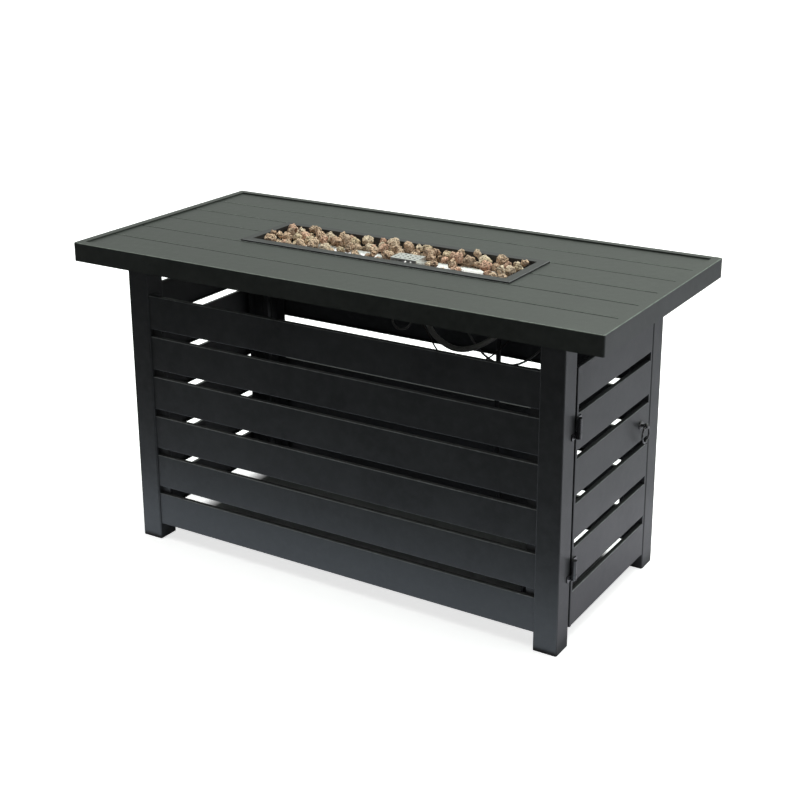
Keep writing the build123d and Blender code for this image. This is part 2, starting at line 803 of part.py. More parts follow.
def probe(place, tip_radius, tip_length):
    """A ceramic post through the pan's floor, with a shoulder on the floor and a metal tip."""
    x, y = place
    with BuildPart() as post:
        with Locations((x, y, pan_under - probe_drop)):
            Cylinder(
                probe_radius,
                probe_drop + pan_sheet + probe_rise,
                align=(Align.CENTER, Align.CENTER, Align.MIN),
            )
        with Locations((x, y, pan_floor)):
            Cylinder(
                probe_flange_radius, probe_flange_height, align=(Align.CENTER, Align.CENTER, Align.MIN)
            )
        with Locations((x, y, pan_floor + probe_rise)):
            Cylinder(tip_radius, tip_length, align=(Align.CENTER, Align.CENTER, Align.MIN))
    return post.part


save(probe(probe_places["spark_electrode"], spark_tip_radius, spark_tip_length), "spark_electrode")
save(probe(probe_places["thermocouple"], thermocouple_tip_radius, thermocouple_tip_length), "thermocouple")

# Control panel in the back's top gap, hung from the rail
panel_face_y = base_width / 2 - panel_setback
panel_centre_x = base_length / 2 - panel_from_end
panel_start_x = panel_centre_x - panel_length / 2
valve_x = panel_centre_x + valve_offset
button_x = panel_centre_x + button_offset
valve_face_y = panel_face_y - panel_sheet
bonnet_end_y = valve_face_y + panel_sheet + valve_bonnet_length
valve_middle_y = valve_face_y - valve_depth / 2


def facing_back(x, y):
    """Plane at the height of the controls that looks out of the back, with local y up."""
    return Plane(origin=(x, y, control_height), x_dir=(-1, 0, 0), z_dir=(0, 1, 0))


with BuildPart() as control_panel:
    with BuildSketch(Plane.YZ.offset(panel_start_x)):
        with Locations((panel_face_y, rail_bottom)):
            Rectangle(panel_sheet, panel_drop, align=(Align.MAX, Align.MAX))
            Rectangle(panel_flange, panel_sheet, align=(Align.MAX, Align.MAX))
        with Locations((panel_face_y, rail_bottom - panel_drop)):
            Rectangle(panel_lip, panel_sheet, align=(Align.MAX, Align.MIN))
    extrude(amount=panel_length)
    for x, radius in ((valve_x, valve_bonnet_radius), (button_x, igniter_radius)):
        with BuildSketch(facing_back(x, panel_face_y)):
            Circle(radius + hole_clearance)
        extrude(amount=-panel_sheet, mode=Mode.SUBTRACT)
save(control_panel.part, "control_panel")

# Gas valve behind the panel: inlet at its side, outlet at its back
with BuildPart() as gas_valve:
    with Locations((valve_x, valve_face_y, control_height)):
        Box(valve_length, valve_depth, valve_height, align=(Align.CENTER, Align.MAX, Align.CENTER))
    fillet(gas_valve.edges().filter_by(Axis.Y), valve_corner_radius)
    with BuildSketch(facing_back(valve_x, valve_face_y)):
        Circle(valve_bonnet_radius)
    extrude(amount=panel_sheet + valve_bonnet_length)
    with BuildSketch(facing_back(valve_x, valve_face_y - valve_depth)):
        Circle(nipple_radius)
    extrude(amount=-nipple_length)
    with BuildSketch(Plane.YZ.offset(valve_x - valve_length / 2)):
        with Locations((valve_middle_y, control_height)):
            Circle(nipple_radius)
    extrude(amount=-nipple_length)
    with BuildSketch(facing_back(valve_x, bonnet_end_y)):
        Circle(stem_radius + stem_clearance)
    extrude(amount=-stem_bore_depth, mode=Mode.SUBTRACT)
save(gas_valve.part, "gas_valve")

knob_base_y = bonnet_end_y + knob_gap

with BuildPart() as valve_stem:
    with BuildSketch(facing_back(valve_x, bonnet_end_y - stem_inside)):
        Circle(stem_radius)
    extrude(amount=stem_inside + knob_gap + knob_socket_depth - stem_tip_gap)
save(valve_stem.part, "valve_stem")

with BuildPart() as control_knob:
    with BuildSketch(facing_back(valve_x, knob_base_y)):
        Circle(knob_skirt_radius)
    extrude(amount=knob_skirt_depth)
    fillet(control_knob.faces().sort_by(Axis.Y)[-1].edges(), knob_skirt_edge)
    with BuildSketch(facing_back(valve_x, knob_base_y)):
        Circle(knob_hub_radius)
        SlotOverall(2 * knob_radius, knob_grip_width, rotation=90)
    extrude(amount=knob_depth)
    fillet(control_knob.faces().sort_by(Axis.Y)[-1].edges(), knob_edge_radius)
    with BuildSketch(facing_back(valve_x, knob_base_y)):
        Circle(stem_radius + stem_clearance)
    extrude(amount=knob_socket_depth, mode=Mode.SUBTRACT)
save(control_knob.part, "control_knob")

# Push-button spark igniter beside the valve
bezel_face_y = panel_face_y + bezel_height
igniter_back_y = bezel_face_y - igniter_length

with BuildPart() as igniter_body:
    with BuildSketch(facing_back(button_x, igniter_back_y)):
        Circle(igniter_radius)
    extrude(amount=igniter_length)
    with BuildSketch(facing_back(button_x, panel_face_y)):
        Circle(bezel_radius)
    extrude(amount=bezel_height)
    fillet(igniter_body.faces().sort_by(Axis.Y)[-1].edges(), bezel_edge_radius)
    with BuildSketch(facing_back(button_x, bezel_face_y)):
        Circle(button_radius + button_clearance)
    extrude(amount=-(button_length - button_rise + button_travel + button_spare), mode=Mode.SUBTRACT)
save(igniter_body.part, "igniter_body")

with BuildPart() as igniter_button:
    with BuildSketch(facing_back(button_x, bezel_face_y + button_rise)):
        Circle(button_radius)
    extrude(amount=-button_length)
    fillet(igniter_button.faces().sort_by(Axis.Y)[-1].edges(), button_edge_radius)
save(igniter_button.part, "igniter_button")

# Lava rocks: rough stones let down one by one on a height map of what already lies in the pan
half_length = pan_inner_length / 2
half_width = pan_inner_width / 2
map_x = np.arange(rock_grid / 2 - half_length, half_length, rock_grid)[:, None]
map_y = np.arange(rock_grid / 2 - half_width, half_width, rock_grid)[None, :]
tube_reach = burner_radius + rock_tube_gap
on_tube = (abs(map_x) < burner_length / 2 + rock_gap) & (abs(map_y) < tube_reach)
on_saddle = (abs(abs(map_x) - saddle_spacing / 2) < saddle_foot / 2 + rock_gap) & (
    abs(map_y) < saddle_width / 2 + rock_gap
)
on_cover = (abs(map_x - cover_x) < cover_length / 2 + rock_gap) & (
    abs(map_y - cover_y) < cover_width / 2 + rock_gap
)
tube_top = burner_rise + np.sqrt(np.maximum(tube_reach**2 - map_y**2, 0))
pile = np.where(on_tube, tube_top, np.where(on_saddle, burner_rise, 0))
pile = np.where(on_cover, 2 * pan_depth, pile)
rock_ceiling = pan_depth + rock_crown

# Along the burner's bare stretches the stones on its front side lie low
beside_tube_x = map_x + bare_slant * map_y
bare = np.zeros_like(on_tube)
for start, end in bare_stretches:
    bare |= (start < beside_tube_x) & (beside_tube_x < end) & (map_y < burner_radius / 2)
top_limit = np.where(bare, burner_rise + burner_radius + bare_rise, np.inf)
random = Random(rock_seed)


def rough_stone():
    """A convex stone: points spread evenly over an egg, each moved in or out a little."""
    length = random.uniform(*rock_size_range)
    width = length * random.uniform(*rock_flatness_range)
    height = length * random.uniform(*rock_flatness_range)
    points = []
    for i in range(rock_corner_count):
        level = 1 - (2 * i + 1) / rock_corner_count
        reach = sqrt(1 - level**2)
        turn = pi * (3 - sqrt(5)) * i
        bump = random.uniform(1 - rock_roughness, 1 + rock_roughness) / 2
        points.append(
            (length * bump * reach * cos(turn), width * bump * reach * sin(turn), height * bump * level)
        )
    return ConvexPolyhedron(points, rotation=tuple(random.uniform(0, 360) for _ in range(3)))


def span_below(normals, offsets, x, y):
    """Underside and top of a stone held at (x, y), over the map cells that it covers."""
    window = (
        np.flatnonzero(abs(map_x[:, 0] - x) < rock_size_range[1]),
        np.flatnonzero(abs(map_y[0] - y) < rock_size_range[1]),
    )
    cells = np.ix_(*window)
    levels = offsets - normals[:, 0] * (map_x[window[0]] - x)[..., None]
    levels = (levels - normals[:, 1] * (map_y[:, window[1]] - y)[..., None]) / normals[:, 2]
    under = levels[..., normals[:, 2] < 0].max(axis=-1)
    over = levels[..., normals[:, 2] > 0].min(axis=-1)
    return cells, under, over


stones = []
misses = 0
while misses < rock_patience:
    stone = rough_stone()
    faces = stone.faces()
    normals = np.array([tuple(face.normal_at()) for face in faces])
    offsets = np.array([face.normal_at().dot(face.center()) for face in faces])
    box = stone.bounding_box()
    places = []
    for _ in range(rock_tries):
        x = random.uniform(rock_gap - half_length - box.min.X, half_length - rock_gap - box.max.X)
        y = random.uniform(rock_gap - half_width - box.min.Y, half_width - rock_gap - box.max.Y)
        cells, under, over = span_below(normals, offsets + rock_gap, x, y)
        covered = under < over
        rest = (pile[cells] - under)[covered].max()
        if rest < rock_ceiling and (rest + over < top_limit[cells])[covered].all():
            places.append((rest, x, y))
    if not places:
        misses += 1
        continue
    misses = 0
    rest, x, y = min(places)
    cells, under, over = span_below(normals, offsets, x, y)
    pile[cells] = np.where(under < over, np.maximum(pile[cells], rest + over), pile[cells])
    stones.append(Pos(x, y, pan_floor + rest) * stone)

with BuildPart() as lava_rocks:
    add(stones)
save(lava_rocks.part, "lava_rocks")

# Regulator on the floor at the end of the supply hose, with a turning nut for a gas cylinder
regulator_x = base_length / 2 - regulator_from_door
regulator_axis = coupling_radius + coupling_floor_gap
regulator_middle_y = regulator_hose_y - regulator_neck_length - regulator_radius
regulator_front_y = regulator_middle_y - regulator_radius
coupling_back_y = regulator_front_y - coupling_back_gap
coupling_wall = coupling_length - coupling_mouth_depth
stub_end_y = coupling_back_y - coupling_wall - coupling_play - coupling_lip


def facing_front(y):
    """Plane across the regulator's axis that looks to the front of the table."""
    return Plane(origin=(regulator_x, y, regulator_axis), x_dir=(1, 0, 0), z_dir=(0, -1, 0))


with BuildPart() as regulator:
    with Locations((regulator_x, regulator_middle_y, regulator_axis)):
        Cylinder(regulator_radius, regulator_height)
    fillet(regulator.edges().filter_by(GeomType.CIRCLE), regulator_edge_radius)
    with BuildSketch(Plane.XY.offset(regulator_axis)):
        with Locations((regulator_x, regulator_middle_y)):
            Circle(regulator_cap_radius)
    extrude(amount=regulator_height / 2 + regulator_cap_height)
    chamfer(regulator.faces().sort_by(Axis.Z)[-1].edges(), regulator_cap_chamfer)
    with BuildSketch(facing_front(regulator_hose_y)):
        Circle(regulator_neck_radius)
    extrude(amount=regulator_neck_length + regulator_radius)
    with BuildSketch(facing_front(regulator_middle_y)):
        Circle(regulator_stub_radius)
    extrude(amount=regulator_middle_y - stub_end_y)
    with BuildSketch(facing_front(stub_end_y + coupling_lip)):
        Circle(regulator_stub_radius + coupling_lip)
    extrude(amount=coupling_lip)
save(regulator.part, "regulator")

with BuildPart() as coupling_nut:
    with BuildSketch(facing_front(coupling_back_y)):
        Circle(coupling_radius)
        with PolarLocations(coupling_radius, coupling_grip_count):
            Circle(coupling_grip_radius, mode=Mode.SUBTRACT)
        Circle(regulator_stub_radius + coupling_clearance, mode=Mode.SUBTRACT)
    extrude(amount=coupling_length)
    with BuildSketch(facing_front(coupling_back_y - coupling_wall)):
        Circle(coupling_mouth_radius)
    extrude(amount=coupling_mouth_depth, mode=Mode.SUBTRACT)
save(coupling_nut.part, "coupling_nut")

# Hoses and wires: each starts and ends at a fitting, and hangs between them as placed from those


def beside(point, x, y, z):
    """A point at that distance from another one."""
    return (point[0] + x, point[1] + y, point[2] + z)


def above_floor(point, x, y, height):
    """A point at that distance from another one across the floor, and at its own height."""
    return (point[0] + x, point[1] + y, height)


inlet = (valve_x - valve_length / 2 - nipple_length, valve_middle_y, control_height)
outlet = (valve_x, valve_face_y - valve_depth - nipple_length, control_height)
supply = (regulator_x, regulator_hose_y, regulator_axis)
mixer = (mixer_end, 0, mixer_axis)
spark = (*probe_places["spark_electrode"], pan_under - probe_drop)
button = (button_x, igniter_back_y, control_height)
heat = (*probe_places["thermocouple"], pan_under - probe_drop)
sensor = (valve_x, valve_middle_y + lead_offset, control_height - valve_height / 2)
hose_floor = hose_diameter / 2 + hose_floor_gap
routes = {
    "gas_hose": (
        hose_diameter,
        inlet,
        beside(inlet, -28, 0, 0),
        beside(inlet, -55, -0.5, -15.5),
        beside(inlet, -71, -1, -43),
        beside(inlet, -73, -2, -98),
        beside(inlet, -70, -3.5, -193),
        above_floor(inlet, -73, -5, 237),
        above_floor(inlet, -70, -6.5, 147),
        above_floor(inlet, -66, -7.5, 80),
        above_floor(inlet, -51, -10, 50),
        above_floor(inlet, -27, -14.5, 28),
        above_floor(inlet, 7, -22.5, 13),
        above_floor(inlet, 53, -35.5, hose_floor),
        above_floor(supply, -36, 80, hose_floor),
        above_floor(supply, -8, 52, 12),
        beside(supply, 0, 26, 0),
        supply,
    ),
    "burner_hose": (
        hose_diameter,
        mixer,
        beside(mixer, 26, 0, 0),
        beside(mixer, 52, -10, -11),
        beside(mixer, 70, -30, -32),
        beside(mixer, 94, -44, -56),
        beside(mixer, 144, -50, -74),
        beside(mixer, 192, -44, -57),
        beside(mixer, 223, -22, -29),
        beside(mixer, 238, 18, -7),
        beside(outlet, 26, -85.5, -9),
        beside(outlet, 11, -47.5, -2),
        beside(outlet, 0, -21.5, 0),
        outlet,
    ),
    "igniter_wire": (
        igniter_wire_diameter,
        spark,
        beside(spark, 0, 0, -16),
        beside(spark, -11, -9, -27),
        beside(spark, -16, -17, -40),
        beside(spark, -4, -22, -57),
        beside(spark, 17, -21, -55),
        beside(spark, 27, -15, -40),
        beside(spark, 30, -4, -23),
        beside(spark, 30, 11, -7),
        beside(spark, 35, 29, 4),
        beside(spark, 53, 41, 3),
        beside(spark, 75, 43, -11),
        beside(spark, 97, 39, -37),
        beside(spark, 119, 35, -67),
        beside(spark, 141, 37, -95),
        beside(spark, 165, 49, -115),
        beside(spark, 193, 77, -123),
        beside(button, -38, -86, -118),
        beside(button, -18, -58, -84),
        beside(button, -5, -40, -40),
        beside(button, -1, -32, -12),
        beside(button, 0, -17, 0),
        button,
    ),
    "thermocouple_lead": (
        thermocouple_lead_diameter,
        heat,
        beside(heat, 0, 0, -19),
        beside(heat, 7, 9, -39),
        beside(heat, 17, 23, -67),
        beside(heat, 27, 33, -97),
        beside(heat, 39, 47, -125),
        beside(heat, 61, 69, -143),
        beside(heat, 91, 97, -139),
        beside(sensor, -50, -77, -110),
        beside(sensor, -26, -43, -72),
        beside(sensor, -10, -17, -38),
        beside(sensor, 0, 0, -20),
        sensor,
    ),
}

for name, (diameter, *points) in routes.items():
    corners = [Vector(*point) for point in points]
    radii = []
    for before, corner, after in zip(corners, corners[1:], corners[2:]):
        turn = radians((corner - before).get_angle(after - corner))
        shorter_run = min((corner - before).length, (after - corner).length)
        radii.append(bend_share * shorter_run / tan(turn / 2))
    with BuildPart() as tube:
        with BuildLine() as route:
            FilletPolyline(*corners, radius=radii)
        with BuildSketch(Plane(origin=corners[0], z_dir=corners[1] - corners[0])):
            Circle(diameter / 2)
        sweep(path=route.wires()[0])
    length = route.wires()[0].length
    share = tube.part.volume / (length * pi * diameter**2 / 4)
    print(name, f"{length:.0f} long, smallest bend {min(radii):.0f}, volume {share:.3f} of the plain tube")
    print([round(radius) for radius in radii])
    save(tube.part, name)
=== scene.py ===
"""Looks of the fire-pit table: hoses and wires, porous rocks, surfaces, light and camera."""

import json
import math
import random

import bmesh
import bpy
import numpy as np
from mathutils import Matrix, Vector


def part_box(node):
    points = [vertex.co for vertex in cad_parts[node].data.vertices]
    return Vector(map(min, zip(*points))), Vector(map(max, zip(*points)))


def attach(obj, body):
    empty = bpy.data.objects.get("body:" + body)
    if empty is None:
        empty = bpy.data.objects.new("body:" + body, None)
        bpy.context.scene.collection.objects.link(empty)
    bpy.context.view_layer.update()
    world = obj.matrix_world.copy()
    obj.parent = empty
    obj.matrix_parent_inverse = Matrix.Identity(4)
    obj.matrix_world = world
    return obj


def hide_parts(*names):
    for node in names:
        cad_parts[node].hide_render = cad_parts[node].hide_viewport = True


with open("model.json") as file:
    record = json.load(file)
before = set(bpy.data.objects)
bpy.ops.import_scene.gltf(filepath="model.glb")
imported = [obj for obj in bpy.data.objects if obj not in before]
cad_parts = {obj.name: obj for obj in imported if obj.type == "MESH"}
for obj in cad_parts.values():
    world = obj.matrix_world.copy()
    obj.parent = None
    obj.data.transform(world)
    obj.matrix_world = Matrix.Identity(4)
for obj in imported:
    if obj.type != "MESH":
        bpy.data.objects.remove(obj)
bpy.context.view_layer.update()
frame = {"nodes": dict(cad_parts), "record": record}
nodes = frame["nodes"]
scene = bpy.context.scene

# Outer faces of the base, in metres
base_left, base_front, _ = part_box("leg_front_left")[0]
base_right, base_back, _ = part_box("leg_back_right")[1]


# Camera, placed by the edges of the table in the photo

camera_place = (1.3640, -2.1816, 1.2867)
azimuth, elevation, roll = math.radians(31.645), math.radians(17.716), math.radians(-0.223)
sensor_mm, lens_mm = 36, 65.35
frame_shift = -0.1
farthest_seen = 200

back = Vector((
    math.sin(azimuth) * math.cos(elevation),
    -math.cos(azimuth) * math.cos(elevation),
    math.sin(elevation),
))
level_turn = (-back).to_track_quat("-Z", "Y")
camera = bpy.data.objects.new("camera", bpy.data.cameras.new("camera"))
scene.collection.objects.link(camera)
camera.location = camera_place
camera.rotation_mode = "QUATERNION"
camera.rotation_quaternion = level_turn @ Matrix.Rotation(roll, 3, "Z").to_quaternion()
camera.data.sensor_width = sensor_mm
camera.data.lens = lens_mm
camera.data.shift_y = frame_shift
camera.data.clip_end = farthest_seen
scene.camera = camera


# Small helpers for shader trees

class Shader:
    """The node tree of a material or a world, with short calls for the nodes that they share."""

    def __init__(self, owner, output="ShaderNodeOutputMaterial"):
        owner.use_nodes = True
        self.owner = owner
        self.tree = owner.node_tree
        self.tree.nodes.clear()
        self.output = self.tree.nodes.new(output)

    def node(self, kind, **values):
        made = self.tree.nodes.new(kind)
        for key, value in values.items():
            setattr(made, key, value)
        return made

    def feed(self, socket, value):
        """Link a socket to another one, or give it a value or a colour."""
        if isinstance(value, bpy.types.NodeSocket):
            self.tree.links.new(value, socket)
        elif socket.type == "RGBA":
            socket.default_value = (*value, 1)
        else:
            socket.default_value = value

    def set(self, made, **inputs):
        """Feed a node's inputs by name."""
        for key, value in inputs.items():
            self.feed(made.inputs[key.replace("_", " ")], value)
        return made.outputs

    def fill(self, made, *values):
        """Feed a node's inputs in their order."""
        for socket, value in zip(made.inputs, values):
            self.feed(socket, value)
        return made.outputs[0]

    def axes(self, vector):
        """X, Y and Z of a vector."""
        parts = self.set(self.node("ShaderNodeSeparateXYZ"), Vector=vector)
        return parts["X"], parts["Y"], parts["Z"]

    def place(self, stretch=(1, 1, 1)):
        """Coordinates fixed to the piece, in metres, stretched along the axes."""
        source = self.node("ShaderNodeTexCoord").outputs["Object"]
        return self.set(self.node("ShaderNodeMapping"), Vector=source, Scale=stretch)[0]

    def noise(self, per_metre, detail=3, roughness=0.55, stretch=(1, 1, 1)):
        made = self.node("ShaderNodeTexNoise")
        where = self.place(stretch)
        return self.set(made, Vector=where, Scale=per_metre, Detail=detail, Roughness=roughness)["Fac"]

    def cells(self, per_metre):
        made = self.node("ShaderNodeTexVoronoi")
        return self.set(made, Vector=self.place(), Scale=per_metre)["Distance"]

    def span(self, value, source, target=(0, 1)):
        """value carried from the range source to the range target, and held at its ends."""
        (start, end), (low, high) = source, target
        made = self.node("ShaderNodeMapRange")
        return self.set(made, Value=value, From_Min=start, From_Max=end, To_Min=low, To_Max=high)["Result"]

    def mix(self, share, first, second, blend="MIX"):
        made = self.node("ShaderNodeMix", data_type="RGBA", blend_type=blend)
        share_socket, first_socket, second_socket, result = 0, 6, 7, 2
        self.feed(made.inputs[share_socket], share)
        self.feed(made.inputs[first_socket], first)
        self.feed(made.inputs[second_socket], second)
        return made.outputs[result]

    def maths(self, operation, first, second=0.0):
        return self.fill(self.node("ShaderNodeMath", operation=operation), first, second)

    def bump(self, height, depth, strength, **under):
        """Relief of a depth in metres, on top of the relief given as Normal."""
        made = self.node("ShaderNodeBump")
        return self.set(made, Height=height, Distance=depth, Strength=strength, **under)["Normal"]

    def shader(self, kind, **inputs):
        return self.set(self.node(kind), **inputs)[0]

    def finish(self, shader):
        self.feed(self.output.inputs["Surface"], shader)
        return self.owner

    def surface(self, **inputs):
        return self.finish(self.shader("ShaderNodeBsdfPrincipled", **inputs))


def material_shader(name):
    return Shader(bpy.data.materials.new(name))


def shade(colour, factor):
    return tuple(factor * channel for channel in colour)


# Surfaces

def plank_grooves(s):
    """1 down in the grooves between the tabletop's planks, which get painted shade, and 0 elsewhere."""
    rim_rise, rim_width = 0.003, 0.016
    # Depths below the plank top where the painted groove shade begins and where it is full
    shade_start_depth, full_shade_depth = 0.0002, 0.0010
    right, rear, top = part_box("tabletop")[1]
    plank_top = top - rim_rise
    across, along, height = s.axes(s.place())
    deep = s.span(height, (plank_top - shade_start_depth, plank_top - full_shade_depth))
    for value, edge in ((across, right), (along, rear)):
        within = s.maths("LESS_THAN", s.maths("ABSOLUTE", value), edge - rim_width / 2)
        deep = s.maths("MULTIPLY", deep, within)
    return deep


def upper_bends(s):
    """1 on bends and rounded edges that face half up, which get a painted highlight."""
    _, _, upward = s.axes(s.node("ShaderNodeNewGeometry").outputs["Normal"])
    past_upright = s.span(upward, (0.15, 0.40))
    short_of_flat = s.span(upward, (0.90, 0.98), (1, 0))
    return s.maths("MULTIPLY", past_upright, short_of_flat)


def powder_coat(name, colour, roughness, grain=1.0, grooved=False):
    """Satin powder coat: fine orange peel, a slow drift in tone and gloss, a painted highlight on upper
    edges, and painted shade in the plank grooves when grooved.
    """
    dark, light, groove_shade = shade(colour, 0.78), shade(colour, 1.22), shade(colour, 0.15)
    dusty, glint, highlight_tone = shade(colour, 1.7), shade(colour, 1.9), shade(colour, 8)
    drift_gloss, mottle_gloss = (roughness - 0.09, roughness + 0.09), (-0.09, 0.09)
    groove_dullness = 0.5
    peel_depth, fine_depth, relief = 0.00022 * grain, 0.00004 * grain, 0.6
    s = material_shader(name)
    fine = s.noise(per_metre=1500, detail=2)
    peel = s.noise(per_metre=420, detail=2)
    drift = s.noise(per_metre=7, detail=5, roughness=0.6)
    mottle = s.noise(per_metre=70, roughness=0.6)
    tone = s.mix(s.span(drift, (0.32, 0.68)), dark, light)
    tone = s.mix(s.span(mottle, (0.4, 0.7), (0, 0.5)), tone, dusty)
    tone = s.mix(s.span(fine, (0.35, 0.75), (0, 0.25)), tone, glint)
    # Painted highlight: bends and rounded edges that face half up are painted much lighter, for light from
    # above
    bend_highlight = s.maths("MULTIPLY", upper_bends(s), s.span(mottle, (0.3, 0.6), (0.5, 1.0)))
    tone = s.mix(bend_highlight, tone, highlight_tone)
    gloss = s.maths("ADD", s.span(mottle, (0, 1), mottle_gloss), s.span(drift, (0, 1), drift_gloss))
    if grooved:
        deep = plank_grooves(s)
        # Painted shade: the plank grooves are painted darker
        tone = s.mix(deep, tone, groove_shade)
        gloss = s.maths("ADD", gloss, s.maths("MULTIPLY", deep, groove_dullness))
    normal = s.bump(peel, peel_depth, relief, Normal=s.bump(fine, fine_depth, relief))
    return s.surface(Base_Color=tone, Roughness=gloss, Normal=normal)


def bright_metal(name, colour, stain, stretch, roughness, metal=1.0):
    """Bare metal with a fine grain, drawn out into lines by stretch, and tarnish in blotches."""
    line_depth, relief = 0.00004, 0.4
    line_gloss, blotch_gloss = (-0.07, 0.07), (roughness - 0.05, roughness + 0.08)
    line_tone = shade(colour, 0.82)
    s = material_shader(name)
    lines = s.noise(per_metre=900, roughness=0.6, stretch=stretch)
    blotch = s.noise(per_metre=28, detail=4)
    tone = s.mix(s.span(lines, (0.3, 0.7)), line_tone, colour)
    tone = s.mix(s.span(blotch, (0.45, 0.75), (0, 0.7)), tone, stain)
    gloss = s.maths("ADD", s.span(lines, (0, 1), line_gloss), s.span(blotch, (0, 1), blotch_gloss))
    normal = s.bump(lines, line_depth, relief)
    return s.surface(Base_Color=tone, Metallic=metal, Roughness=gloss, Normal=normal)


def moulded(name, colour, roughness, grain, depth, shine=0.5):
    """Plastic, ceramic or gloss paint with an even grain, given per metre, and the grain's depth."""
    dark, light = shade(colour, 0.8), shade(colour, 1.2)
    gloss_range = (roughness - 0.06, roughness + 0.06)
    relief = 0.5
    s = material_shader(name)
    fine = s.noise(per_metre=grain)
    drift = s.noise(per_metre=9)
    tone = s.mix(s.span(drift, (0.3, 0.7)), dark, light)
    gloss = s.span(drift, (0.3, 0.7), gloss_range)
    normal = s.bump(fine, depth, relief)
    return s.surface(Base_Color=tone, Roughness=gloss, Normal=normal, Specular_IOR_Level=shine)


def hose_rubber():
    """Hose, black towards the back and painted grey towards the middle of the table, where it is lit from
    the front: painted light.
    """
    lit_grey, black, dull = (0.23, 0.23, 0.215), (0.014, 0.014, 0.015), (0.03, 0.03, 0.03)
    lit_grey_up_to, black_from = 0.11, 0.16
    gloss_range = (0.44, 0.56)
    grain_depth, relief = 0.00006, 0.5
    s = material_shader("hose_rubber")
    _, to_back, _ = s.axes(s.place())
    fine = s.noise(per_metre=500)
    # Painted light: grey where the hose is lit from the front, black behind
    tone = s.mix(s.span(to_back, (lit_grey_up_to, black_from)), lit_grey, black)
    tone = s.mix(s.span(fine, (0.35, 0.7), (0, 0.35)), tone, dull)
    gloss = s.span(s.noise(per_metre=9), (0.3, 0.7), gloss_range)
    return s.surface(Base_Color=tone, Roughness=gloss, Normal=s.bump(fine, grain_depth, relief))


def lava_stone():
    """Porous stone: a tone of its own for each rock, dark pores and pale dust."""
    dust_tone, speck_tone, pore_tone = (0.78, 0.63, 0.50), (0.24, 0.15, 0.10), (0.17, 0.115, 0.080)
    pit_depth, pit_relief = 0.0012, 0.9
    dust_depth, dust_relief = 0.0015, 0.8
    s = material_shader("lava_stone")
    own = s.node("ShaderNodeAttribute", attribute_name="tone").outputs["Color"]
    dust = s.noise(per_metre=160, detail=5, roughness=0.7)
    specks = s.noise(per_metre=420)
    beside_small_pores = s.span(s.cells(per_metre=330), (0.18, 0.42))
    beside_large_pores = s.span(s.cells(per_metre=150), (0.12, 0.34))
    solid = s.maths("MULTIPLY", beside_small_pores, beside_large_pores)
    tone = s.mix(s.span(dust, (0.45, 0.72), (0, 0.75)), own, dust_tone)
    tone = s.mix(s.span(specks, (0.5, 0.7), (0, 0.5)), tone, speck_tone)
    tone = s.mix(solid, pore_tone, tone)
    normal = s.bump(solid, pit_depth, pit_relief, Normal=s.bump(dust, dust_depth, dust_relief))
    return s.surface(Base_Color=tone, Roughness=0.93, Normal=normal, Specular_IOR_Level=0.25)


# top_paint's green tint is the painted colour of the light from above
paint, top_paint, pan_paint = (0.027, 0.0285, 0.0285), (0.0255, 0.0290, 0.0255), (0.022, 0.022, 0.023)
grey_paint = (0.20, 0.20, 0.21)
zinc, zinc_stain = (0.62, 0.62, 0.63), (0.35, 0.36, 0.38)
steel, steel_stain = (0.80, 0.80, 0.79), (0.56, 0.53, 0.48)
brass, brass_stain = (0.72, 0.50, 0.21), (0.42, 0.27, 0.10)
lead, lead_stain = (0.050, 0.042, 0.038), (0.03, 0.025, 0.022)
gloss_black, plastic_black = (0.016, 0.016, 0.017), (0.030, 0.031, 0.033)
jacket_grey, ceramic = (0.10, 0.10, 0.095), (0.72, 0.69, 0.62)
unlined, along_x, along_y = (1, 1, 1), (0.06, 1, 1), (1, 0.06, 1)
looks = {
    "powder_coat": powder_coat("powder_coat", paint, roughness=0.42),
    "pan_paint": powder_coat("pan_paint", pan_paint, roughness=0.48, grain=0.7),
    "regulator_metal": powder_coat("regulator_metal", grey_paint, roughness=0.46, grain=1.6),
    "zinc_steel": bright_metal("zinc_steel", zinc, zinc_stain, unlined, roughness=0.30),
    "stainless": bright_metal("stainless", steel, steel_stain, along_x, roughness=0.30, metal=0.70),
    "brass": bright_metal("brass", brass, brass_stain, along_y, roughness=0.30),
    "copper_lead": bright_metal("copper_lead", lead, lead_stain, along_x, roughness=0.45),
    "black_metal": moulded("black_metal", gloss_black, roughness=0.17, grain=900, depth=0.00002, shine=1.0),
    "wire_jacket": moulded("wire_jacket", jacket_grey, roughness=0.42, grain=800, depth=0.00003),
    "electrode_ceramic": moulded("electrode_ceramic", ceramic, roughness=0.38, grain=600, depth=0.00002),
    "black_plastic": moulded("black_plastic", plastic_black, roughness=0.46, grain=1100, depth=0.00005),
    "hose_rubber": hose_rubber(),
    "lava_stone": lava_stone(),
}
slots = {part["node"]: part["material_slot"] for part in frame["record"]["subparts"]}
for name, piece in nodes.items():
    piece.data.materials.clear()
    piece.data.materials.append(looks[slots[name]])
# The tabletop's own coat, with painted shade in its plank grooves
nodes["tabletop"].data.materials[0] = powder_coat("tabletop_coat", top_paint, roughness=0.42, grooved=True)


# Hoses and wires: the same routes as the frame's, as smooth curves
# Each has its diameter, length, material slot, stiffness and route, in metres

